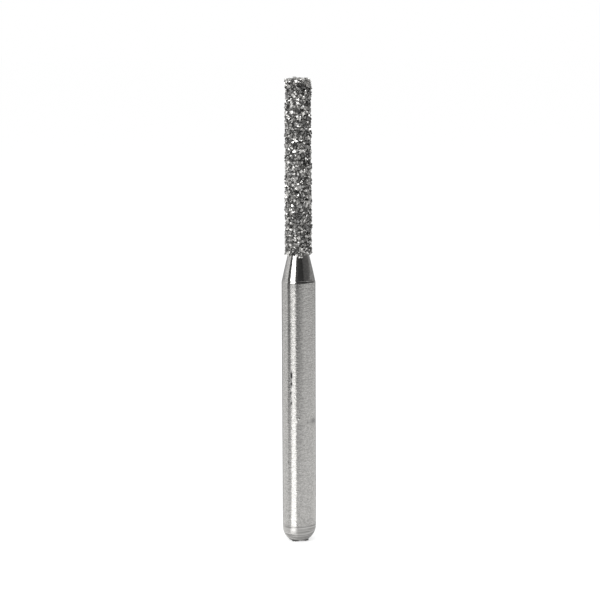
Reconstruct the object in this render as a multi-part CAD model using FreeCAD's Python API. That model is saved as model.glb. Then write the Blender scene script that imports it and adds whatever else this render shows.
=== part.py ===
# A dental bur for a high-speed handpiece: a long, flat-ended cylinder of diamond grit
# on the head of a turned and ground steel blank.
#
# The bur's axis is Z, with +Z towards the working end, and lengths are in millimetres.
# The origin is the centre of the flat that the parting tool left on the shank's end.

import FreeCAD, Part

import math
import os
import random

Vector = FreeCAD.Vector

# Shank, which the handpiece's chuck grips, up to the foot of the neck
shank_diameter = 1.60
shank_length = 12.62
end_round_radius = 0.80
end_flat_diameter = 0.70

# Shoulder, a narrow steep edge where the polished neck meets the ground shank
shoulder_step = 0.025
shoulder_height = 0.05

# Neck, a polished cone from the shoulder to the coating's lower rim
neck_length = 1.29

# Core of the head, under the coating
core_diameter = 0.98
core_end_chamfer = 0.10

# Nickel that holds the grit on the core's side and end, a little thinner towards the tip
coated_length = 8.09
bond_thickness_at_rim = 0.08
bond_thickness_at_tip = 0.06
bond_waviness = 0.006
tip_round_radius = 0.12

# Lower rim of the nickel, which is drawn in to a narrow foot on the neck
foot_width = 0.035
foot_rise = 0.02

# Diamond crystals, set close together, with their highest corners this far over the nickel
crystal_pitch = 0.20
crystal_stand_low = 0.040
crystal_stand_high = 0.110

# How much of its patch of nickel a crystal fills, how much of its height its top may lean,
# and how much of the pitch it may lie off its even place
crystal_fill_low = 0.50
crystal_fill_high = 0.95
crystal_lean = 0.65
crystal_wander = 0.26
crystal_seed = 836

# Slow waves that crowd the crystals in one place and spread them in another, and how far
# from the rim and from the middle of the end they die out
crowding = 0.06
crowding_waves = (1.9, 1.3)
crowding_fade = 0.60

# Places that follow from the sizes
shank_radius = shank_diameter / 2
core_radius = core_diameter / 2
rim_radius = core_radius + bond_thickness_at_rim
tip_radius = core_radius + bond_thickness_at_tip
rim_z = shank_length + neck_length
tip_z = rim_z + coated_length
core_end_z = tip_z - bond_thickness_at_tip

full_turn = 2 * math.pi
axis_point = Vector(0, 0, 0)
axis_direction = Vector(0, 0, 1)


def outline_point(radius, z):
    """A point of a turned outline, in the plane that the outline is drawn in."""
    return Vector(radius, 0, z)


def straight(start, end):
    """A straight edge of an outline."""
    return Part.LineSegment(start, end).toShape()


def end_rounding():
    """The arc from the flat on the shank's end to the shank's side, which it meets smoothly."""
    flat_radius = end_flat_diameter / 2
    centre_radius = shank_radius - end_round_radius
    reach = flat_radius - centre_radius
    centre_z = math.sqrt(end_round_radius**2 - reach**2)
    middle_angle = math.atan2(-centre_z, reach) / 2
    middle = outline_point(
        centre_radius + end_round_radius * math.cos(middle_angle),
        centre_z + end_round_radius * math.sin(middle_angle),
    )
    start = outline_point(flat_radius, 0)
    end = outline_point(shank_radius, centre_z)
    return start, middle, end


def make_steel_blank():
    """The blank, turned from one rod: rounded end, shank, shoulder, neck cone and core."""
    flat_edge, round_middle, side_start = end_rounding()
    corners = [
        side_start,
        outline_point(shank_radius, shank_length - shoulder_height),
        outline_point(shank_radius - shoulder_step, shank_length),
        outline_point(core_radius, rim_z),
        outline_point(core_radius, core_end_z - core_end_chamfer),
        outline_point(core_radius - core_end_chamfer, core_end_z),
        outline_point(0, core_end_z),
        axis_point,
        flat_edge,
    ]
    edges = [Part.Arc(flat_edge, round_middle, side_start).toShape()]
    edges += [straight(a, b) for a, b in zip(corners, corners[1:])]
    outline = Part.Face(Part.Wire(edges))
    return outline.revolve(axis_point, axis_direction, 360)


class Crystal:
    """One crystal's place on the nickel, and the corners of the patch of nickel round it."""

    def __init__(self, radius, z, angle, normal_out, normal_up):
        self.angle = angle
        around = Vector(-math.sin(angle), math.cos(angle), 0)
        outward = Vector(math.cos(angle), math.sin(angle), 0)
        self.place = outward * radius + Vector(0, 0, z)
        self.normal = outward * normal_out + Vector(0, 0, normal_up)
        self.across = around
        self.along = self.normal.cross(around)
        self.corners = []

    def direction_of(self, point):
        """The direction from the crystal to a point, as an angle about its normal."""
        offset = point - self.place
        return math.atan2(offset.dot(self.along), offset.dot(self.across))

    def raised(self, direction, distance, height):
        """A point at a distance and direction from the crystal's middle, over the nickel."""
        sideways = self.across * math.cos(direction) + self.along * math.sin(direction)
        return self.place + sideways * distance + self.normal * height


def nickel_outline(distance):
    """Radius, height and outward normal of the nickel, at a distance along its outline.

    The outline runs from the rim up the side, round the tip's corner and in to the axis.
    """
    side = coated_length - tip_round_radius
    corner = tip_round_radius * math.pi / 2
    if distance <= side:
        radius = rim_radius + (tip_radius - rim_radius) * distance / side
        return radius, rim_z + distance, 1.0, 0.0
    if distance <= side + corner:
        turn = (distance - side) / tip_round_radius
        out, up = math.cos(turn), math.sin(turn)
        radius = tip_radius - tip_round_radius * (1 - out)
        return radius, tip_z - tip_round_radius * (1 - up), out, up
    radius = tip_radius - tip_round_radius - (distance - side - corner)
    return max(radius, 0.0), tip_z, 0.0, 1.0


def outline_length():
    """Length of the nickel's outline, from the rim to the axis."""
    flat = tip_radius - tip_round_radius
    return coated_length - tip_round_radius * (1 - math.pi / 2) + flat


def crowded(distance, angle):
    """Where a crystal lies along the outline once the slow waves have pushed it.

    One wave winds twice round the axis one way, and the other three times the other way.
    """
    ends = min(distance, outline_length() - distance)
    fade = min(1.0, max(0.0, ends / crowding_fade))
    first, second = (full_turn * distance / wave for wave in crowding_waves)
    push = math.sin(2 * angle + first) + math.sin(3 * angle - second)
    return distance + crowding * fade * push


def ring_of_crystals(distance, row_gap, number, chance):
    """The crystals of one ring, in order round the axis, each a little off its even place."""
    radius = nickel_outline(distance)[0]
    count = max(1, round(full_turn * radius / crystal_pitch))
    stagger = 0.5 * (number % 2)
    ring = []
    for k in range(count):
        wander = 0.0 if count == 1 else crystal_wander
        angle = full_turn * (k + stagger + chance.uniform(-wander, wander)) / count
        shifted = distance + chance.uniform(-wander, wander) * row_gap
        radius, z, out, up = nickel_outline(crowded(shifted, angle))
        ring.append(Crystal(radius, z, angle, out, up))
    return ring


def zip_rings(outer, inner):
    """Triangles that join two rings, each a list of (angle, thing) in order of angle.

    The next triangle takes its new corner from the ring whose next thing comes first.
    """
    def angle(ring, k):
        return ring[k % len(ring)][0] + full_turn * (k // len(ring))

    def thing(ring, k):
        return ring[k % len(ring)][1]

    inner_steps = len(inner) if len(inner) > 1 else 0
    i = j = 0
    triangles = []
    while i < len(outer) or j < inner_steps:
        step_outer = j >= inner_steps or (
            i < len(outer) and angle(outer, i + 1) <= angle(inner, j + 1)
        )
        if step_outer:
            triangles.append((thing(outer, i), thing(outer, i + 1), thing(inner, j)))
            i += 1
        else:
            triangles.append((thing(outer, i), thing(inner, j + 1), thing(inner, j)))
            j += 1
    return triangles


def share_nickel(lower, upper, chance):
    """Gives each trio of neighbouring crystals one shared corner, and returns the corners."""
    lower_ring = [(crystal.angle, crystal) for crystal in lower]
    upper_ring = [(crystal.angle, crystal) for crystal in upper]
    corners = []
    for trio in zip_rings(lower_ring, upper_ring):
        middle = (trio[0].place + trio[1].place + trio[2].place) * (1 / 3)
        normal = (trio[0].normal + trio[1].normal + trio[2].normal) * (1 / 3)
        corner = middle + normal * chance.uniform(-bond_waviness, bond_waviness)
        corners.append(corner)
        for crystal in trio:
            crystal.corners.append(corner)
    return corners


def in_radius(crystal, ring):
    """Radius of the largest circle round the crystal's middle that stays in its patch."""
    flat = []
    for direction, corner in ring:
        offset = corner - crystal.place
        flat.append((offset.dot(crystal.across), offset.dot(crystal.along)))
    distances = []
    for (x0, y0), (x1, y1) in zip(flat, flat[1:] + flat[:1]):
        distances.append(abs(x0 * y1 - x1 * y0) / math.hypot(x1 - x0, y1 - y0))
    return min(distances)


def crystal_facets(crystal, chance):
    """A blocky crystal: a tilted top of three or four corners, and flanks down to its patch."""
    patch = sorted((crystal.direction_of(corner), corner) for corner in crystal.corners)
    size = in_radius(crystal, patch) * chance.uniform(crystal_fill_low, crystal_fill_high)
    stand = chance.uniform(crystal_stand_low, crystal_stand_high)
    lean = chance.uniform(0, crystal_lean)
    high_side = chance.uniform(0, full_turn)
    edges = chance.choice((3, 4))
    first = chance.uniform(-math.pi, -math.pi + full_turn / edges)
    top = []
    for k in range(edges):
        direction = first + full_turn * k / edges
        height = stand * (1 - lean * (1 - math.cos(direction - high_side)) / 2)
        top.append((direction, crystal.raised(direction, size, height)))
    points = [point for direction, point in top]
    flanks = zip_rings(patch, top)
    cap = [(points[0], points[k], points[k + 1]) for k in range(1, edges - 1)]
    return flanks + cap


def foot_facets(rim_corners):
    """The underside of the rim, from the lowest crystals in to a flat foot on the neck."""
    count = len(rim_corners)
    radius = core_radius + foot_width
    foot = []
    for k in range(count):
        angle = full_turn * k / count
        point = Vector(radius * math.cos(angle), radius * math.sin(angle), rim_z)
        foot.append((angle, point))
    rim = [(math.atan2(p.y, p.x) % full_turn, p) for p in rim_corners]
    rim.sort(key=lambda pair: pair[0])
    facets = zip_rings(foot, rim)
    sole = [point for angle, point in reversed(foot)]
    return facets + [sole]


def grit_skin():
    """Facets of the coating's outside: the crystals on the side and end, and the rim's foot."""
    chance = random.Random(crystal_seed)
    row_gap = crystal_pitch * math.sqrt(3) / 2
    first_row = foot_rise + row_gap * 2 / 3
    span = outline_length() - first_row
    rows = round(span / row_gap) + 1
    row_gap = span / (rows - 1)
    rings = []
    for number in range(rows):
        distance = first_row + number * row_gap
        rings.append(ring_of_crystals(distance, row_gap, number, chance))
    below = ring_of_crystals(first_row - row_gap, 0, 1, chance)
    rim_corners = share_nickel(below, rings[0], chance)
    for lower, upper in zip(rings, rings[1:]):
        share_nickel(lower, upper, chance)
    facets = foot_facets(rim_corners)
    for ring in rings:
        for crystal in ring:
            facets += crystal_facets(crystal, chance)
    return facets


def facet_face(points):
    """One flat facet through three or more corners."""
    return Part.Face(Part.makePolygon(list(points) + [points[0]]))


def make_diamond_coating(blank):
    """The nickel and its crystals, as one skin filled up to the blank that it is plated on."""
    shell = Part.Shell([facet_face(points) for points in grit_skin()])
    shell.sewShape()
    return Part.Solid(shell).cut(blank).Solids[0]


def main():
    steel_blank = make_steel_blank()
    nodes = {
        "steel_blank": steel_blank,
        "diamond_coating": make_diamond_coating(steel_blank),
    }
    os.makedirs("parts", exist_ok=True)
    for name, shape in nodes.items():
        shape.exportStep(f"parts/{name}.step")
        print(f"{name}: {shape.Volume:.4f} mm3, {len(shape.Faces)} faces")


main()
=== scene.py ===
# %% [markdown]
# # A diamond bur, dressed for its photograph
#
# A dental bur is a tool 22 mm long: a ground steel shank that a handpiece grips, a polished neck
# and a head covered in diamond crystals that are held by plated nickel.
#
# The packed model already has the true sizes. It is loaded first, as a frame, and each piece
# made below takes the place of one of its nodes. The frame is in metres. A bur is easier to
# think of in millimetres, so every shape is worked out in those and scaled as it becomes a mesh.

# %% The frame
import math

import bmesh
import bpy
import numpy as np
from mathutils import Matrix, Vector


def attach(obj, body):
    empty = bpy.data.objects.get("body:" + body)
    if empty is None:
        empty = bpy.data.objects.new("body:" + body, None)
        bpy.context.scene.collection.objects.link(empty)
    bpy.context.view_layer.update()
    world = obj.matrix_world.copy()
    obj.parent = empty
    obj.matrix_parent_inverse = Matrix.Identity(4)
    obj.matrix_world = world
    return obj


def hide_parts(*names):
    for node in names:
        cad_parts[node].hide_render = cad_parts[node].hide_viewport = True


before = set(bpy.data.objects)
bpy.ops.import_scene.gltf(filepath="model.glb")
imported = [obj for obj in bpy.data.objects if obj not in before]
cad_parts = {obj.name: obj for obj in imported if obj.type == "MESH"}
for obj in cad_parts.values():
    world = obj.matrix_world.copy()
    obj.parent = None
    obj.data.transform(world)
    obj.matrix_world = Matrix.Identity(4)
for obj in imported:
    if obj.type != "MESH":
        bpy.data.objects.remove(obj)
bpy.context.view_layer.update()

MM = 0.001

# %% [markdown]
# ## Camera
#
# The photograph looks down on the bur a little, by 8.5 degrees. That shows in the rim of the
# head and the edge of the shoulder, which curve down like smiles. The shank's two sides also
# draw together towards the bottom, which only a lens fairly near the bur does: 80 mm away.
# The bur leans a fifth of a degree, and a slight roll of the camera copies that.
#
# A camera could be set by eye in the viewport. Here its place is worked out from those angles
# and the distance, so that each of them can be corrected by itself.

# %% Camera
image_width = 600
focal_pixels = 1690
sensor_width = 36
camera_pitch = math.radians(8.5)
camera_roll = math.radians(-0.2)
camera_distance = 80
aim = Vector((0.066, 0, 11.70))

toward_camera = Vector((0, -math.cos(camera_pitch), math.sin(camera_pitch)))
camera_data = bpy.data.cameras.new("camera")
camera_data.sensor_width = sensor_width
camera_data.lens = sensor_width * focal_pixels / image_width
camera_data.clip_start = 1 * MM
camera_data.clip_end = 5000 * MM
camera = bpy.data.objects.new("camera", camera_data)
camera.matrix_world = (
    Matrix.Translation((aim + toward_camera * camera_distance) * MM)
    @ Matrix.Rotation(math.pi / 2 - camera_pitch, 4, "X")
    @ Matrix.Rotation(camera_roll, 4, "Z")
)
bpy.context.scene.collection.objects.link(camera)
bpy.context.scene.camera = camera
print("lens", round(camera_data.lens, 1), "mm")

# %% [markdown]
# ## Helpers for every turned piece
#
# A turned piece is a stack of rings round the axis. A Screw modifier could sweep a profile
# into one, but it makes every side alike, and this bur has nicks, a torn foot and a ragged rim.
# So the rings are worked out in an array of rows, columns and xyz, where a formula can move any
# point of any ring.
#
# The faces follow from the row and column numbers alone, so numpy makes them all at once. Each
# end is closed by a fan of triangles to a point on the axis. Because the columns run
# counter-clockwise and the rows go up, every face points outwards.

# %% Rings to a mesh
def add_piece(name, points, faces, smooth):
    """A mesh object at the origin, from points in mm and faces as lists of point numbers."""
    mesh = bpy.data.meshes.new(name)
    mesh.from_pydata((points * MM).tolist(), [], faces)
    mesh.polygons.foreach_set("use_smooth", np.full(len(mesh.polygons), smooth))
    piece = bpy.data.objects.new(name, mesh)
    bpy.context.scene.collection.objects.link(piece)
    return piece


def ring_faces(rows, columns):
    """Quads between neighbouring rings, then the fans that close the bottom and the top.

    The point in a row and a column has the number row * columns + column. The two points on
    the axis come after all the rings, the low one first.
    """
    row, column = np.meshgrid(np.arange(rows - 1), np.arange(columns), indexing="ij")
    here = row * columns + column
    beside = row * columns + (column + 1) % columns
    quads = np.stack([here, beside, beside + columns, here + columns], axis=-1).reshape(-1, 4)
    ring = np.arange(columns)
    after = (ring + 1) % columns
    top = (rows - 1) * columns
    low_pole = np.full(columns, rows * columns)
    fan_low = np.stack([after, ring, low_pole], axis=-1)
    fan_top = np.stack([top + ring, top + after, low_pole + 1], axis=-1)
    return quads.tolist() + fan_low.tolist() + fan_top.tolist()


def turned_piece(name, rings):
    """A closed skin through rings, an array of rows x columns x 3 in mm, bottom ring first."""
    rows, columns = rings.shape[:2]
    poles = rings[[0, -1]].mean(axis=1) * [0, 0, 1]
    points = np.concatenate([rings.reshape(-1, 3), poles])
    return add_piece(name, points, ring_faces(rows, columns), smooth=True)


def ring_angles(columns):
    """Angles evenly round the axis, as an array of one row."""
    return np.linspace(0, 2 * math.pi, columns, endpoint=False)[None, :]


def around(radius, z, angle):
    """Points at a radius and height, turned by an angle from +X towards +Y.

    x is the radius times the angle's cosine, and y is the radius times its sine.
    """
    radius, z, angle = np.broadcast_arrays(radius, z, angle)
    return np.stack([radius * np.cos(angle), radius * np.sin(angle), z], axis=-1)


print("a ring at radius 1 and height 2 starts at", around(1, 2, ring_angles(8))[0, 0])

# %% [markdown]
# ## Helpers for unevenness
#
# Plated nickel, torn steel and a bead of metal are uneven without any pattern. A Displace
# modifier with a cloud texture could do that. A sum of plane waves does the same with one
# formula, gives a number wherever another formula asks for it, and is the same on each run.
#
# A number that a finish has to know, such as how dark the steel is from wear or painted shade, is stored
# on the mesh.

# %% Waves and stored numbers
def waves(points, finest, longest, count, seed):
    """A smooth random number at each point, mostly between -1 and 1.

    It adds up plane waves sin(k.p + shift) with random directions, and wavelengths between
    finest and longest. Because it reads the place in space, it has no seam round a ring.
    """
    chance = np.random.default_rng(seed)
    direction = chance.normal(size=(count, 3))
    direction /= np.linalg.norm(direction, axis=1, keepdims=True)
    length = np.exp(chance.uniform(math.log(finest), math.log(longest), count))
    shift = chance.uniform(0, 2 * math.pi, count)
    total = np.zeros(points.shape[:-1])
    for toward, wave, start in zip(direction, length, shift):
        total += np.sin(points @ toward * (2 * math.pi / wave) + start)
    return total / math.sqrt(count)


def store_number(piece, name, values):
    """Stores one number for each point of a piece, which a finish reads by its name."""
    stored = piece.data.attributes.new(name, "FLOAT", "POINT")
    stored.data.foreach_set("value", values)


sample = waves(np.random.default_rng(0).uniform(0, 10, (1000, 3)), 0.5, 2, 24, seed=1)
print("waves go from", sample.min().round(2), "to", sample.max().round(2))

# %% [markdown]
# ## The steel blank
#
# The blank is turned from rod. A parting tool leaves a small ragged flat on its end, the end is
# rounded with a form tool that leaves fine grooves, and the shank is ground between wheels. The
# neck is polished after that, which is why it stops at a sharp edge.
#
# Its outline could be drawn as a curve. Here it is a list of radii and heights from the foot
# up, so that each length has a name. Extra rings lie close to each sharp edge, so that smooth
# shading can't round it off.

# %% Outline of the blank
shank_radius = 0.80
shank_top = 12.585
neck_foot = 12.668
neck_foot_radius = 0.775
cone_foot = 12.686
neck_swell = 0.036
rim_z = 13.91
core_radius = 0.49
core_chamfer = 0.10
tip_z = 22.00
end_nickel = 0.06
flat_radius = 0.35
torn_radius = 0.47
turned_top = 0.84
ring_step = 0.042
round_centre = math.sqrt(shank_radius**2 - flat_radius**2)

flat_rings = [0.06, 0.16, 0.26, 0.36, 0.41, 0.44, 0.46]
flat = np.stack([flat_rings, np.zeros(len(flat_rings))], axis=1)
turn = np.linspace(-math.acos(torn_radius / shank_radius), 0, 40)
rounding = np.stack([shank_radius * np.cos(turn), round_centre + shank_radius * np.sin(turn)], 1)
shank_z = np.arange(round_centre + ring_step, shank_top - 0.02, ring_step)
shank = np.stack([np.full(len(shank_z), shank_radius), shank_z], axis=1)
shoulder = np.array([
    [shank_radius, shank_top - 0.006],
    [shank_radius - 0.0006, shank_top - 0.001],
    [shank_radius - 0.003, shank_top + 0.003],
    [neck_foot_radius + 0.002, neck_foot - 0.002],
    [neck_foot_radius, neck_foot + 0.001],
    [neck_foot_radius, neck_foot + 0.004],
    [neck_foot_radius, cone_foot - 0.003],
    [neck_foot_radius, cone_foot],
])
# The neck is a cone that swells a little half way up: swell * share * (1 - share). It starts a
# hair inside the shoulder's last ring, which keeps the edge there sharp.
share = np.linspace(0, 1, 24)
neck = np.stack([
    neck_foot_radius - 0.0007 + (core_radius - neck_foot_radius) * share
    + neck_swell * share * (1 - share),
    cone_foot + 0.002 + (rim_z - cone_foot) * share,
], axis=1)
core_top = tip_z - end_nickel
core = np.array([
    [core_radius, rim_z + 0.3],
    [core_radius, core_top - core_chamfer],
    [core_radius - core_chamfer, core_top],
    [0.06, core_top],
])
outline = np.concatenate([flat, rounding, shank, shoulder, neck, core])
row_radius, row_z = outline[:, :1], outline[:, 1:]
print("outline rows", len(outline), "of which on the shank", len(shank))

# %% [markdown]
# ## Wear marks on the shank
#
# A handpiece has gripped this shank, and it shows a row of dark nicks on the left, a few more lower down
# and two small raised burrs that catch the light. Just below the shoulder a shallow dent also carries
# painted shade, which dims the bright streak there.
# They could be painted on an image. As small dents in the mesh they stay sharp from near by and
# take light from any side. The same depth also darkens the steel, because dirt fills a nick.

# %% Wear marks
# Each mark is (angle from the front in degrees, z in mm, half width in mm, half height in mm,
# depth). The front faces the camera, and a negative angle is to its left. A depth of 1 is a
# quite dark nick as deep as dent_depth, and a negative depth is a raised burr.
marks = np.array([
    # The first two marks are painted shade: they darken the bright streak just below the shoulder, and
    # dent it slightly.
    [-16.0, 12.56, 0.26, 0.05, 0.30],
    [-16.0, 12.43, 0.26, 0.12, 0.30],
    [-27.5, 8.20, 0.055, 0.16, 1.4],
    [-28.0, 7.79, 0.05, 0.09, 1.3],
    [-29.5, 7.36, 0.04, 0.07, 1.0],
    [-28.0, 6.89, 0.04, 0.07, 1.0],
    [61.0, 5.96, 0.20, 0.13, 0.6],
    [30.7, 5.93, 0.05, 0.06, 0.5],
    [2.0, 6.11, 0.045, 0.045, -3.0],
    [-5.0, 6.00, 0.04, 0.045, -1.6],
    [17.5, 4.84, 0.04, 0.04, 0.5],
    [-39.4, 3.96, 0.04, 0.05, 0.7],
])
dent_depth = 0.008
blank_columns = 236
blank_angle = ring_angles(blank_columns)
front_angle = np.degrees((blank_angle + math.pi / 2 + math.pi) % (2 * math.pi) - math.pi)


def mark_depth(front_angle, z):
    """For each point, the sum over the marks of depth * exp(-(across/width)^2 - (up/height)^2)."""
    across = np.radians(front_angle[..., None] - marks[:, 0]) * shank_radius
    up = z[..., None] - marks[:, 1]
    return (marks[:, 4] * np.exp(-((across / marks[:, 2]) ** 2) - (up / marks[:, 3]) ** 2)).sum(-1)


wear = mark_depth(front_angle, row_z) * (row_z > turned_top) * (row_z < shank_top)
print("deepest dent in mm:", round(dent_depth * wear.max(), 4))
print("highest burr in mm:", round(-dent_depth * wear.min(), 4))

# %% [markdown]
# ## The turned end and its torn flat
#
# The form tool leaves each ring of the rounded end a hair larger or smaller than the last. The
# parting tool breaks the last of the steel off instead of cutting it, so the rim of the flat is
# torn up unevenly and bent out in a burr at the right, and the rounding sits a little off the
# axis. It could be sculpted by hand. Here a short table says how far each side of the rim is
# torn up, a random ripple makes that ragged, and one bell-shaped swelling is the burr.

# %% Grooves and the torn flat
groove_depth = 0.0026
ripple_height = 0.014
highest_tear = 0.066
burr_angle, burr_spread, burr_share = 64, 24, 0.09
foot_shift = 0.035

chance = np.random.default_rng(4)
groove = np.where(row_z < round_centre, chance.normal(0, groove_depth, row_z.shape), 0)
groove[: len(flat)] = 0

# Each pair is the angle from the front and how far the rim is torn up there.
tear = np.array([
    [-180, 0.03], [-90, 0.04], [-55, 0.05], [-38, 0.03], [-22, 0.012], [-8, 0.016], [4, 0.06],
    [20, 0.06], [45, 0.035], [60, 0.012], [80, 0.015], [130, 0.04], [180, 0.03],
])
on_flat = np.arange(len(outline))[:, None] < len(flat)
lift = np.interp(front_angle, *tear.T)
ripple = waves(around(row_radius, row_z, blank_angle), 0.05, 0.3, 24, seed=7)
torn_z = row_z + on_flat * np.clip(lift + ripple_height * ripple, 0, highest_tear)
burr = 1 + burr_share * on_flat * np.exp(-(((front_angle - burr_angle) / burr_spread) ** 2))
blank_radius = row_radius + groove - dent_depth * wear
rings = around(blank_radius * burr, torn_z, blank_angle)
rings[..., 0] -= foot_shift * np.clip(1 - row_z / round_centre, 0, 1)
steel_blank = turned_piece("steel_blank", rings)
print("blank triangles", 2 * len(outline) * blank_columns, "lowest point", rings[..., 2].min())

# %% [markdown]
# ## Where the steel is dark
#
# One number per point says how dark the steel is: the depth of the nicks, painted shade on the streak
# just below the shoulder, a faint ring where the turned end meets the ground shank, and painted shade
# round the torn flat, where the bur stands on the floor.
# It is stored on the mesh, and the steel's finish reads it.

# %% Dark places on the steel
seam_wear, seam_width = 0.2, 0.02
foot_wear, foot_shade_patches, foot_shade_width = 0.85, 0.25, 0.11
wear += seam_wear * np.exp(-(((row_z - turned_top) / seam_width) ** 2))
# Painted shade: the steel round the torn flat is darkened in patches, where the bur stands on the floor.
foot_shade_mask = np.exp(-((row_z / foot_shade_width) ** 2)) * (row_z < round_centre)
wear += (foot_wear + foot_shade_patches * ripple) * foot_shade_mask
wear_at_poles = [0, 0]
store_number(steel_blank, "wear", np.concatenate([wear.ravel(), wear_at_poles]))
print("share of the points that are darkened", round(float((wear > 0.05).mean()), 3))

# %% [markdown]
# ## Where the coating lies
#
# The nickel covers the core's side and its flat end, with a small rounding between them. One
# number says where a point lies on that outline: the distance along it from the lower rim, up
# the side, round the corner and in to the axis. Everything on the head is placed by that
# distance and an angle.

# %% Outline of the coating
rim_radius = 0.566
tip_radius = 0.525
corner_radius = 0.03
coated_side = tip_z - rim_z - corner_radius
corner_arc = corner_radius * math.pi / 2
coated_length = coated_side + corner_arc + tip_radius - corner_radius


def coat_outline(distance):
    """Radius, height and outward normal of the nickel at distances along its outline.

    On the side the radius goes evenly from rim to tip. On the corner the normal turns from
    level to upright, evenly with the distance. On the end the radius falls with the distance.
    """
    distance = np.asarray(distance, float)
    turn = np.clip((distance - coated_side) / corner_radius, 0, math.pi / 2)
    up_side = np.clip(distance / coated_side, 0, 1)
    inward = np.clip(distance - coated_side - corner_arc, 0, None)
    radius = rim_radius + (tip_radius - rim_radius) * up_side
    radius = radius - corner_radius * (1 - np.cos(turn)) - inward
    z = rim_z + np.minimum(distance, coated_side) + corner_radius * np.sin(turn)
    return np.maximum(radius, 0), z, np.cos(turn), np.sin(turn)


def on_coat(distance, angle, height):
    """Points at a height over the nickel, and the outward normals there."""
    radius, z, out, up = coat_outline(distance)
    normal = around(out, up, angle)
    return around(radius, z, angle) + normal * np.asarray(height)[..., None], normal


print("outline of the coating", round(coated_length, 3), "mm long")

# %% [markdown]
# ## The nickel bond
#
# The nickel is plated on round the crystals, so its surface swells and sinks by a few hundredths of a
# millimetre. It shows only as the rough ground between the crystals, and its dark grey there is painted
# shade.
#
# A cylinder with a Displace modifier would come close. A grid over distance and angle, lifted
# by the random waves, also follows the corner and gives the rim its ragged edge. At the rim it
# curls in to the neck, and it is closed inside the core, where nobody sees it.

# %% Nickel bond
bond_columns, bond_rows = 200, 236
swell_height, highest_swell = 0.012, 0.03
ragged_height = 0.012
open_middle = 0.03

bond_angle = ring_angles(bond_columns)
bond_distance = np.linspace(0, coated_length - open_middle, bond_rows)[:, None]
level, _ = on_coat(bond_distance, bond_angle, np.zeros((bond_rows, bond_columns)))
swell = swell_height * waves(level, 0.07, 0.28, 60, seed=21)
swell = np.clip(swell, -highest_swell, highest_swell)
bond_skin, _ = on_coat(bond_distance, bond_angle, swell)
ragged_rim = ragged_height * waves(level[:1], 0.15, 0.6, 20, seed=5)
bond_skin[0, :, 2] += ragged_rim[0]

# Each ring of the curl is (radius, rise over the rim, share of the ragged edge it follows).
curl_radius, curl_rise, curl_share = np.array([
    [0.30, 0.05, 0],
    [0.485, 0.01, 0],
    [0.525, -0.02, 1],
    [0.555, -0.015, 1],
]).T[..., None]
curl = around(curl_radius, rim_z + curl_rise + curl_share * ragged_rim, bond_angle)
nickel_bond = turned_piece("nickel_bond", np.concatenate([curl, bond_skin]))
print("nickel triangles", 2 * (bond_rows + len(curl)) * bond_columns)

# %% [markdown]
# ### A stray bead
#
# On the front, just below the rim, the plating has run on to the neck in one small bead. A
# metaball or a sculpted blob would do. An ellipsoid made uneven by the random waves is enough,
# and its back half is sunk in the steel.

# %% Bead of nickel on the neck
bead_rows, bead_columns = 9, 16
bead_half_size = [0.11, 0.06, 0.07]
bead_unevenness = 0.18
bead_radius, bead_z, bead_front_angle = 0.515, 13.815, 10
bead_tone = 0.8

bead_turn = np.linspace(-0.45 * math.pi, 0.45 * math.pi, bead_rows)[:, None]
ball = around(np.cos(bead_turn), np.sin(bead_turn), ring_angles(bead_columns))
ball = np.concatenate([ball.reshape(-1, 3), [[0, 0, -1], [0, 0, 1]]])
bead = ball * (1 + bead_unevenness * waves(ball, 0.9, 2.5, 12, seed=3))[:, None] * bead_half_size
bead_place = around(bead_radius, bead_z, math.radians(bead_front_angle - 90))
plating_bead = add_piece("plating_bead", bead + bead_place, ring_faces(bead_rows, bead_columns), True)
store_number(plating_bead, "tone", np.full(len(bead), bead_tone))
print("bead from", bead[:, 2].min() + bead_z, "to", bead[:, 2].max() + bead_z)

# %% [markdown]
# ## The crystals
#
# Diamond grit is crushed and sieved, so the crystals are near one size but each has its own
# flat facets. A rock generator or a cube cut by hand could make one. Here a crystal is the
# space inside a few planes: a skewed cube with some corners cut off. A dozen such habits are
# enough, because each copy is also stretched and turned at random, and no one sees two alike.

# %% A habit: the space inside some planes
cube_tilt, cut_tilt = 0.16, 0.25
cube_reach, cut_reach = (0.62, 0.92), (0.78, 1.02)
least_corner = 0.05


def plane_corners(normal, reach):
    """Corners of the solid where normal . p <= reach for every plane.

    Any three planes meet in a point, unless two are nearly parallel, which a determinant under
    least_corner shows. The corners are those points that no plane cuts off.
    """
    count = len(normal)
    i, j, k = np.meshgrid(*[np.arange(count)] * 3, indexing="ij")
    trio = np.stack([i, j, k], -1)[(i < j) & (j < k)]
    system = normal[trio]
    sound = np.abs(np.linalg.det(system)) > least_corner
    meeting = np.linalg.solve(system[sound], reach[trio[sound]][..., None])[..., 0]
    inside = (meeting @ normal.T <= reach + 1e-6).all(axis=1)
    return meeting[inside]


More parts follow.
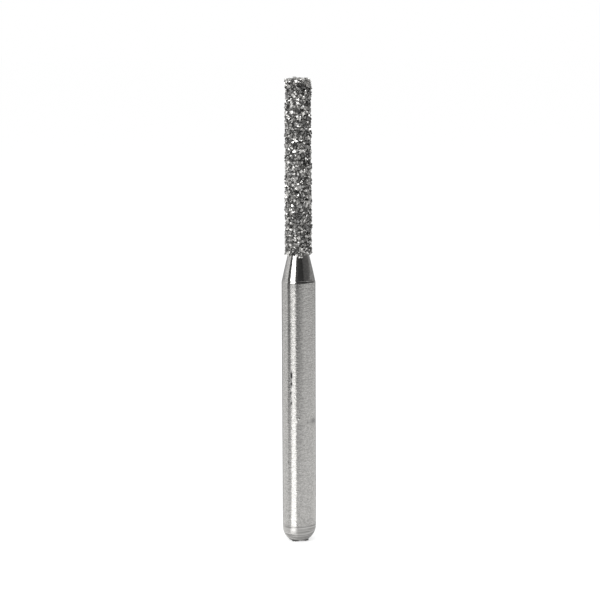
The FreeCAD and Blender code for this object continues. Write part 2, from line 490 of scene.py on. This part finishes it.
def crystal_habit(chance):
    """Corners and triangles of one habit, about 1 in radius and closed.

    Six planes make a cube, skewed by tilting each at random. Four more planes cut across its
    corners, a little farther out. The convex hull of the solid's corners gives the facets.
    """
    cube = np.concatenate([np.eye(3), -np.eye(3)]) + chance.normal(0, cube_tilt, (6, 3))
    cut = chance.choice([-1, 1], (4, 3)) + chance.normal(0, cut_tilt, (4, 3))
    normal = np.concatenate([cube, cut])
    normal /= np.linalg.norm(normal, axis=1, keepdims=True)
    reach = np.concatenate([chance.uniform(*cube_reach, 6), chance.uniform(*cut_reach, 4)])
    mesh = bpy.data.meshes.new("habit")
    mesh.from_pydata(plane_corners(normal, reach).tolist(), [], [])
    shape = bmesh.new()
    shape.from_mesh(mesh)
    bmesh.ops.convex_hull(shape, input=shape.verts)
    loose = [vert for vert in shape.verts if not vert.link_faces]
    bmesh.ops.delete(shape, geom=loose, context="VERTS")
    bmesh.ops.recalc_face_normals(shape, faces=shape.faces)
    shape.to_mesh(mesh)
    shape.free()
    corners = np.empty(3 * len(mesh.vertices), np.float32)
    mesh.vertices.foreach_get("co", corners)
    triangles = np.empty(len(mesh.loops), np.int32)
    mesh.loops.foreach_get("vertex_index", triangles)
    bpy.data.meshes.remove(mesh)
    return corners.reshape(-1, 3).astype(float), triangles.reshape(-1, 3)


habit_count = 12
chance = np.random.default_rng(11)
habits = [crystal_habit(chance) for _ in range(habit_count)]
print("triangles of the habits", [len(triangles) for _, triangles in habits])

# %% [markdown]
# ## Scattering the crystals
#
# The crystals cover the nickel evenly but not in rows. Geometry Nodes can scatter points on a
# surface, but the export needs plain meshes, and a formula does it as well. A neat one is the
# way that seeds sit in a sunflower: crystal number i has i parts of the area below it, and is
# turned on from the last by the golden angle. A random nudge then hides the pattern.
#
# Some crystals stand out farther than others, and those on the end and near its corner stand out
# farthest, as the ragged outline in the photograph shows. The end is also the brightest part of the head,
# so its crystals get no very dark tones, which is painted light.

# %% Places, sizes and tones
crystal_count = 3900
golden_angle = math.pi * (3 - math.sqrt(5))
nudge = 0.028
mean_size, size_spread, smallest, largest = 0.056, 0.014, 0.035, 0.10
mean_stand, stand_spread = 0.004, 0.018
end_stand = 0.02
corner_stand, corner_reach = 0.022, 0.33
end_least_tone_painted_light = 0.3

fine = np.linspace(0, coated_length, 4000)
area_below = np.cumsum(coat_outline(fine)[0])
number = np.arange(crystal_count)
area = (number + 0.5) / crystal_count * area_below[-1]
chance = np.random.default_rng(29)
distance = np.interp(area, area_below, fine) + chance.normal(0, nudge, crystal_count)
distance = np.clip(distance, 0.02, coated_length)
place_radius = np.maximum(coat_outline(distance)[0], 0.05)
place_angle = number * golden_angle + chance.normal(0, nudge, crystal_count) / place_radius
size = np.clip(chance.normal(mean_size, size_spread, crystal_count), smallest, largest)
stand = chance.normal(mean_stand, stand_spread, crystal_count)
on_end = distance > coated_side
stand += end_stand * on_end + corner_stand * (distance > coated_side - corner_reach)
places, _ = on_coat(distance, place_angle, stand)
print("crystals on the side", (~on_end).sum(), "and on the end and its corner", on_end.sum())


# %% Turns and stretches
def random_turns(chance, count):
    """Rotation matrices, each from a random quaternion of length 1."""
    quaternion = chance.normal(size=(count, 4))
    w, x, y, z = quaternion.T / np.linalg.norm(quaternion, axis=1)
    return np.array([
        [1 - 2 * (y * y + z * z), 2 * (x * y - w * z), 2 * (x * z + w * y)],
        [2 * (x * y + w * z), 1 - 2 * (x * x + z * z), 2 * (y * z - w * x)],
        [2 * (x * z - w * y), 2 * (y * z + w * x), 1 - 2 * (x * x + y * y)],
    ]).transpose(2, 0, 1)


stretch = chance.uniform(0.8, 1.2, (crystal_count, 3)) * size[:, None]
turns = random_turns(chance, crystal_count) * stretch[:, None, :]
tone = chance.uniform(0, 1, crystal_count)
# Painted light: crystals on the end get only the lighter tones, which brightens the end.
tone = np.where(on_end, end_least_tone_painted_light + (1 - end_least_tone_painted_light) * tone, tone)
habit_of = chance.integers(0, len(habits), crystal_count)
print("crystals of each habit", np.bincount(habit_of))

# %% [markdown]
# ### All the copies at once
#
# A copy of a habit is its corners, times the crystal's own turn and stretch, plus its place.
# Blender could link 3,900 objects to twelve meshes, but one mesh is lighter to export and can
# store each crystal's tone. So all copies of one habit are worked out in one product of arrays.

# %% Copies of the habits
points, faces, tones = [], [], []
filled = 0
for which, (corners, triangles) in enumerate(habits):
    chosen = habit_of == which
    copies = corners @ turns[chosen].transpose(0, 2, 1) + places[chosen][:, None, :]
    first_point = filled + np.arange(chosen.sum())[:, None, None] * len(corners)
    points.append(copies.reshape(-1, 3))
    faces.append((triangles + first_point).reshape(-1, 3))
    tones.append(np.repeat(tone[chosen], len(corners)))
    filled += chosen.sum() * len(corners)
points = np.concatenate(points)
faces = np.concatenate(faces)
crystals = add_piece("diamond_crystals", points, faces.tolist(), smooth=False)
store_number(crystals, "tone", np.concatenate(tones))
print("crystals", crystal_count, "triangles", len(faces))
print("highest", points[:, 2].max(), "widest", np.hypot(points[:, 0], points[:, 1]).max())

# %% [markdown]
# ## Finishes
#
# Each finish is a tree of nodes that reads the place on the object. It could be wired by hand in
# the Shader Editor. A small helper lays the nodes out, so that each finish below reads as a list
# of what drives what.

# %% A small helper for node trees
def feed(tree, socket, value):
    """Joins another node's output to a socket, or gives the socket a plain value."""
    if isinstance(value, bpy.types.NodeSocket):
        tree.links.new(value, socket)
    else:
        socket.default_value = value


def add_node(tree, kind, inputs=None, **settings):
    """Adds a node with its settings, then feeds its inputs."""
    made = tree.nodes.new("ShaderNode" + kind)
    for key, value in settings.items():
        setattr(made, key, value)
    for key, value in (inputs or {}).items():
        feed(tree, made.inputs[key], value)
    return made


class Finish:
    """A material with one Principled shader, and short ways to add and join nodes."""

    def __init__(self, name, **settings):
        self.material = bpy.data.materials.new(name)
        self.material.use_nodes = True
        self.tree = self.material.node_tree
        self.shader = self.tree.nodes["Principled BSDF"]
        for socket, value in settings.items():
            self.shader.inputs[socket.replace("_", " ")].default_value = value

    def node(self, kind, inputs=None, **settings):
        """Adds a node to this finish."""
        return add_node(self.tree, kind, inputs, **settings)

    def drive(self, socket, value):
        """Joins an output to one of the shader's inputs."""
        feed(self.tree, self.shader.inputs[socket], value)

    def stored(self, name, output="Fac"):
        """The number that store_number put on the points, by its name."""
        return self.node("Attribute", attribute_name=name).outputs[output]

    def noise(self, scale, detail):
        """Noise over the place on the object, with so many features to a mm along x, y, z."""
        where = self.node("TexCoord").outputs["Object"]
        spread = [features / MM for features in scale]
        placed = self.node("Mapping", {"Vector": where, "Scale": spread}).outputs[0]
        return self.node("TexNoise", {"Vector": placed, "Scale": 1.0, "Detail": detail}).outputs[0]

    def ramp(self, factor, stops):
        """A number or grey from a list of (place, grey) stops."""
        ramp = self.node("ValToRGB", {"Fac": factor})
        elements = ramp.color_ramp.elements
        while len(elements) < len(stops):
            elements.new(0.5)
        for element, (place, grey) in zip(elements, stops):
            element.position = place
            element.color = (grey, grey, grey, 1)
        return ramp.outputs[0]

    def blend(self, factor, low, high, how="MIX"):
        """A colour from low to high by the factor, or with MULTIPLY low times high."""
        mixer = self.node("Mix", data_type="RGBA", blend_type=how)
        feed(self.tree, mixer.inputs["Factor"], factor)
        colours = [socket for socket in mixer.inputs if socket.type == "RGBA"]
        for socket, value in zip(colours, (low, high)):
            joined = isinstance(value, bpy.types.NodeSocket)
            feed(self.tree, socket, value if joined else (*value, 1))
        return [socket for socket in mixer.outputs if socket.type == "RGBA"][0]

    def mottle(self, noise, low, high):
        """A colour from low to high, by the middle part of a noise: below 0.3 low, over 0.7 high."""
        return self.blend(self.ramp(noise, [(0.3, 0), (0.7, 1)]), low, high)

    def darken_worn_and_shaded(self, colour):
        """The colour, which turns nearly black where the stored number is 1: at worn nicks, and where
        shade is painted.
        """
        return self.blend(self.stored("wear"), colour, (0.05, 0.05, 0.05))

    def grain_round_axis(self):
        """Turns the stretched highlights so that the tool marks run round the axis."""
        self.drive("Tangent", self.node("Tangent", direction_type="RADIAL", axis="Z").outputs[0])
        self.shader.inputs["Anisotropic Rotation"].default_value = 0.25

    def bump(self, height, depth):
        """Shades the surface as if it rose by the height times a depth in mm."""
        lifted = self.node("Bump", {"Height": height, "Distance": depth * MM, "Strength": 1.0})
        self.drive("Normal", lifted.outputs[0])


print("ways to build a finish:", [name for name in vars(Finish) if not name.startswith("_")])

# %% [markdown]
# ### Ground steel
#
# A grinding wheel leaves fine scratches that run round the shank. Light is spread up and down by them but
# hardly sideways, so a lamp shows as one long streak. The scratches could be real bumps, but they are
# finer than a pixel. The Anisotropic setting does the spreading instead, with its tangent running round
# the axis. Noise that is squeezed along the axis draws the few scratches that can be seen, a finer grain
# mottles the grey, and the stored number darkens the marks and paints shade on the streak just below the
# shoulder.

# %% Ground steel
steel_grey = (0.472, 0.465, 0.450)
mottling = 0.16
grain_share = 0.15
ground_steel = Finish("ground steel", Metallic=1.0, Roughness=0.26, Anisotropic=0.95)
ground_steel.grain_round_axis()
grain = ground_steel.noise((11, 11, 12), detail=1)
ring_lines = ground_steel.noise((5, 5, 18), detail=0)
shade = ground_steel.mottle(
    grain,
    tuple((1 - mottling) * c for c in steel_grey),
    tuple((1 + mottling) * c for c in steel_grey),
)
ground_steel.drive("Base Color", ground_steel.darken_worn_and_shaded(shade))
scratches = ground_steel.node("Math", {0: grain, 1: grain_share, 2: ring_lines}, operation="MULTIPLY_ADD")
ground_steel.bump(scratches.outputs[0], 0.0083)
print("ground steel has", len(ground_steel.tree.nodes), "nodes")

# %% [markdown]
# ### Turned end and polished neck
#
# The turned end keeps the grooves of its tool, in lines that differ in shade and run right
# round. So its noise hardly changes across the end and changes 33 times a millimetre up it.
# The neck is buffed until it mirrors the room, so it has a low roughness and only a faint
# mottle. One steel with a mask could cover all three surfaces. Three short materials are easier
# to read, and each face of the blank names the one it wears.

# %% Turned end and polished neck
turned_steel = Finish("turned steel", Metallic=1.0, Roughness=0.30, Anisotropic=0.6)
turned_steel.grain_round_axis()
turning = turned_steel.noise((1, 1, 33), detail=0)
turned_shade = turned_steel.mottle(turning, (0.24, 0.236, 0.228), (0.59, 0.58, 0.565))
# The stored number also darkens the steel round the torn flat with painted shade, where the bur stands on
# the floor.
turned_steel.drive("Base Color", turned_steel.darken_worn_and_shaded(turned_shade))
turned_steel.bump(turning, 0.006)

polished_steel = Finish("polished steel", Metallic=1.0, Roughness=0.11)
buffing = polished_steel.noise((9, 9, 14), detail=2)
polished_shade = polished_steel.mottle(buffing, (0.355, 0.35, 0.34), (0.54, 0.53, 0.515))
polished_steel.drive("Base Color", polished_shade)
polished_steel.bump(buffing, 0.002)
print("steels:", [finish.material.name for finish in (ground_steel, turned_steel, polished_steel)])

# %% [markdown]
# ### Nickel and diamond
#
# Plated nickel is a dull silver, rough at a scale far below a pixel, and it lies in the shade of the
# crystals; its grey here is painted far darker than bare nickel, as painted shade between the crystals.
# Diamond bends light more than any other clear stone, so each facet mirrors a sixth of what falls on it,
# and the stone itself ranges from smoky to milky.
#
# Glass with the right index would be truer for a gem. Crystals of 0.1 mm, full of flaws and set
# on metal, look more like bright chips, and a partly metallic shader has less noise. The tone
# stored on each crystal gives the range from smoky to milky.

# %% Nickel and diamond
plated_nickel_painted_dark = Finish("plated nickel", Metallic=1.0, Roughness=0.5)
pitting = plated_nickel_painted_dark.noise((16, 16, 16), detail=3)
# The nickel's near-black greys are painted shade for the gaps between the crystals, darker than bare
# nickel.
nickel_painted_shade = plated_nickel_painted_dark.blend(pitting, (0.03, 0.03, 0.029), (0.155, 0.15, 0.143))
plated_nickel_painted_dark.drive("Base Color", nickel_painted_shade)
plated_nickel_painted_dark.bump(pitting, 0.01)

diamond = Finish("diamond grit", Metallic=0.55, Roughness=0.08, IOR=2.42)
clouds = diamond.noise((9, 9, 9), detail=2)
body = diamond.ramp(diamond.stored("tone"), [(0.0, 0.03), (0.3, 0.17), (0.7, 0.48), (1.0, 1.0)])
cloudy = diamond.blend(clouds, (0.56, 0.55, 0.53), (1.0, 0.985, 0.95))
diamond.drive("Base Color", diamond.blend(1.0, body, cloudy, how="MULTIPLY"))
diamond.bump(clouds, 0.006)
print("diamond grit has", len(diamond.tree.nodes), "nodes")

# %% [markdown]
# ### Putting the finishes on
#
# The blank wears its three steels by height: turned up to the seam, ground up to the shoulder and
# polished above it. Each piece is then hung on the root body, and the nodes of the packed model that the
# pieces take the place of are hidden.

# %% Finishes and places in the frame
for finish in (ground_steel, turned_steel, polished_steel):
    steel_blank.data.materials.append(finish.material)
ground, turned, polished = range(3)
face_z = np.repeat(outline[:-1, 1], blank_columns)
polished_from = shank_top - 0.003
kind = np.where(face_z < turned_top, turned, np.where(face_z < polished_from, ground, polished))
ends = [np.full(blank_columns, turned), np.full(blank_columns, polished)]
kind = np.concatenate([kind, *ends])
steel_blank.data.polygons.foreach_set("material_index", kind.astype(np.int32))
nickel_bond.data.materials.append(plated_nickel_painted_dark.material)
plating_bead.data.materials.append(diamond.material)
crystals.data.materials.append(diamond.material)

for piece, slot_name in (
    (steel_blank, "ground_steel"), (nickel_bond, "diamond_grit"),
    (plating_bead, "diamond_grit"), (crystals, "diamond_grit"),
):
    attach(piece, "root")
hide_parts("steel_blank")
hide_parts("diamond_coating")
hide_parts("diamond_coating")
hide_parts("diamond_coating")
print("faces that are ground, turned and polished:", np.bincount(kind))

# %% [markdown]
# ## The floor
#
# The photograph's ground is clean white, with a small soft shadow at the bur's foot. A bright
# lamp on white paper would clip to white, but it would wash the bur out too. So the paper is a
# mid grey that takes the shadow, and it glows only for rays that come straight from the camera
# or by way of a mirror. The light on the bur stays as it is.

# %% Floor
paper_grey = 0.36
glow_for_camera = 0.71
glow_in_mirrors = 0.57
floor_reach = 3000


def any_ray(tree, *kinds):
    """1 for a ray of any of these kinds, such as "Is Glossy Ray", and 0 for others."""
    path = add_node(tree, "LightPath").outputs
    found = path[kinds[0]]
    for kind in kinds[1:]:
        found = add_node(tree, "Math", {0: found, 1: path[kind]}, operation="MAXIMUM").outputs[0]
    return found


paper = Finish(
    "white paper", Base_Color=(paper_grey, paper_grey, paper_grey, 1), Roughness=1.0,
    Specular_IOR_Level=0.0, Emission_Color=(1, 1, 1, 1),
)
mirrored = any_ray(paper.tree, "Is Glossy Ray", "Is Transmission Ray")
in_mirrors = paper.node("Math", {0: mirrored, 1: glow_in_mirrors}, operation="MULTIPLY")
glow = paper.node("Math", {
    0: any_ray(paper.tree, "Is Camera Ray"), 1: glow_for_camera, 2: in_mirrors.outputs[0],
}, operation="MULTIPLY_ADD")
paper.drive("Emission Strength", glow.outputs[0])
corners = floor_reach * np.array([[-1, -1, 0], [1, -1, 0], [1, 1, 0], [-1, 1, 0]], float)
floor = add_piece("floor", corners, [[0, 1, 2, 3]], False)
floor.data.materials.append(paper.material)
print("floor", 2 * floor_reach, "mm wide")

# %% [markdown]
# ## The room
#
# The world stands for a plain white room. It lights the bur at a level of 0.8, and it is pure
# white wherever the camera or a mirror looks straight at it. A photographed room could light
# the bur as well, but a plain one leaves every reflection to the lamps and cards below.

# %% Room
room_level = 0.8
world = bpy.data.worlds.new("room")
bpy.context.scene.world = world
world.use_nodes = True
background = world.node_tree.nodes["Background"]
background.inputs["Color"].default_value = (1, 1, 1, 1)
seen = any_ray(world.node_tree, "Is Camera Ray", "Is Glossy Ray", "Is Transmission Ray")
strength = add_node(world.node_tree, "MapRange", {"Value": seen, "To Min": room_level, "To Max": 1.0})
feed(world.node_tree, background.inputs["Strength"], strength.outputs[0])
print("room light", room_level, "and 1.0 where it is seen")

# %% [markdown]
# ## Cards
#
# Steel has no look of its own: it shows the room. The photograph's neck shows a tall lamp to
# the left of the camera as a white strip, with a dark gap on each side of it and a dark room to
# the right. The shank mirrors lower down: the floor, the patch of it that the lamp lights, and
# the foot of paler walls.
#
# A whole studio could be modelled for that. A few cards are simpler, and each can be moved by
# itself until its edge shows at the right place on the steel. So curved cards stand round the
# bur, and others lie on the floor. A card gives off its own grey: 0 is black and 1 is white, and
# a patch of floor that the lamp lights is over 1. Only mirroring surfaces show the cards. The
# camera, the shadows and the soft light on the bur leave them out.

# %% A card round the bur
card_steps = 16
wall_distance = 62
card_paper = Finish("card", Base_Color=(0, 0, 0, 1), Roughness=1.0, Specular_IOR_Level=0.0)
card_paper.shader.inputs["Emission Strength"].default_value = 1.0
card_paper.drive("Emission Color", card_paper.stored("grey", "Color"))


def card(name, first, last, edge_one, edge_two, grey_first, grey_last):
    """A card that shows in mirrors only, from one angle from the front to another.

    Its two long edges are arcs, each given as (radius, height), so it stands like a wall or
    lies on the floor. Its grey goes evenly from the first angle to the last.
    """
    turn = np.radians(np.linspace(first, last, card_steps))[None, :] - math.pi / 2
    arcs = np.array([edge_one, edge_two], float)
    grid = around(arcs[:, :1], arcs[:, 1:], turn)
    step = np.arange(card_steps - 1)
    quads = np.stack([step, step + 1, step + 1 + card_steps, step + card_steps], 1)
    piece = add_piece(name, grid.reshape(-1, 3), quads.tolist(), True)
    store_number(piece, "grey", np.tile(np.linspace(grey_first, grey_last, card_steps), 2))
    piece.data.materials.append(card_paper.material)
    piece.visible_camera = piece.visible_diffuse = piece.visible_shadow = False


print("cards stand", wall_distance, "mm from the bur")

# %% Cards on the walls and the floor
# Each wall card is (first and last angle from the front, bottom, top, first and last grey).
# The shank mirrors the lowest ones, the neck those from 22 to 50 mm up.
wall_cards = {
    "pale_low": (-150, -79, 3, 18, 0.62, 0.58),
    "pale_left": (-150, -83, 18, 60, 0.66, 1.15),
    "dark_gap": (-83, -61, 0, 120, 0.15, 0.12),
    "lamp_foot": (-48, -32, 0, 25, 0.05, 0.05),
    "dark_foot": (-32, -25, 0, 25, 0.15, 0.15),
    "dark_stand": (-25, -4, 0, 50, 0.15, 0.08),
    "low_front": (-4, 40, 3, 22, 0.40, 0.60),
    "low_right": (40, 105, 3, 22, 0.60, 0.50),
    "low_side": (105, 150, 3, 22, 0.43, 0.43),
    "dark_front": (-4, 38, 22, 50, 0.07, 0.05),
    "grey_right": (38, 120, 22, 50, 0.12, 0.22),
    "grey_side": (120, 150, 22, 50, 0.25, 0.35),
    "dark_over": (-25, 130, 50, 130, 0.05, 0.05),
    "grey_behind": (150, 210, 0, 60, 0.25, 0.25),
}
# Each floor card is (first and last angle, inner and outer radius, first and last grey). The
# lit ones are the lamp's light on the floor, and the contact ones are the shade round the foot.
floor_cards = {
    "lit_near": (-52, -20, 1.5, 30, 2.7, 2.7),
    "lit_far": (-48, -31, 30, 61, 1.5, 1.5),
    "shade_left": (-80, -52, 24, 110, 0.22, 0.22),
    "shade_right": (-20, 10, 26, 110, 0.20, 0.20),
    "shade_front": (10, 40, 24, 110, 0.35, 1.0),
    "shade_behind": (145, 215, 1.2, 61, 0.30, 0.30),
    "contact_shade": (-10, 140, 0.6, 3.0, 0.85, 0.65),
    "contact_dark": (-179, 179, 0.3, 0.6, 0.45, 0.45),
}
card_over_floor = 0.02
for name, (first, last, bottom, top, *greys) in wall_cards.items():
    card(name, first, last, (wall_distance, bottom), (wall_distance, top), *greys)
for name, (first, last, inner, outer, *greys) in floor_cards.items():
    card(name, first, last, (inner, card_over_floor), (outer, card_over_floor), *greys)
print("cards on the walls", len(wall_cards), "and on the floor", len(floor_cards))

# %% [markdown]
# ## Lamps
#
# A photographer's tall soft box stands to the left of the camera. It gives the white strip on
# the neck and over a third of the bright streak at the top of the shank. The rest of the streak
# is the floor that it lights, which two cards stand for. A round lamp hangs high in front, for
# the crystals on the end. A third lights the bur from the left, and nothing mirrors it.
#
# The lamps could be glowing planes like the cards, but Blender looks for lamps wherever it
# shades a surface, so their soft light has far less noise.

# %% Lamps
def add_lamp(name, shape, width, height, level, toward, place, in_mirrors=True):
    """An area lamp at a place, facing back along toward, and hidden from the camera.

    Its power is level * pi * area, which makes its face level times as bright as white.
    """
    data = bpy.data.lights.new(name, "AREA")
    data.shape = shape
    data.size = width * MM
    data.size_y = height * MM
    filled_share = math.pi / 4 if shape == "DISK" else 1
    data.energy = level * math.pi * width * height * filled_share * MM**2
    lamp = bpy.data.objects.new(name, data)
    lamp.location = place * MM
    lamp.rotation_mode = "QUATERNION"
    lamp.rotation_quaternion = toward.to_track_quat("Z", "Y")
    lamp.visible_camera = False
    lamp.visible_glossy = in_mirrors
    bpy.context.scene.collection.objects.link(lamp)
    print(name, "is", round(width), "by", round(height), "mm and gives", round(data.energy, 4), "W")


tall_first, tall_last = -58, -20
tall_foot, tall_height = 25, 110
tall_turn = math.radians((tall_first + tall_last) / 2)
tall_width = 2 * wall_distance * math.tan(math.radians(tall_last - tall_first) / 2)
toward = Vector((math.sin(tall_turn), -math.cos(tall_turn), 0))
tall_place = toward * wall_distance + Vector((0, 0, tall_height / 2 + tall_foot))
tall_level = 4.2
add_lamp("tall_lamp", "RECTANGLE", tall_width, tall_height, tall_level, toward, tall_place)

high_turn = math.radians(20)
high_distance, high_across, high_level = 130, 80, 3
toward = Vector((math.sin(high_turn) * 0.36, -math.cos(high_turn) * 0.36, 0.93))
high_place = toward * high_distance
add_lamp("high_lamp", "DISK", high_across, high_across, high_level, toward, high_place)

side_distance, side_rise, side_across, side_level = 80, 16, 60, 1.5
toward = Vector((-0.93, -0.16, 0.33))
side_place = toward * side_distance + Vector((0, 0, side_rise))
add_lamp("side_lamp", "SQUARE", side_across, side_across, side_level, toward, side_place, False)

# %% [markdown]
# ## The colour view
#
# The Standard view keeps each colour as it is written.

# %% Finish
bpy.context.scene.view_settings.view_transform = "Standard"
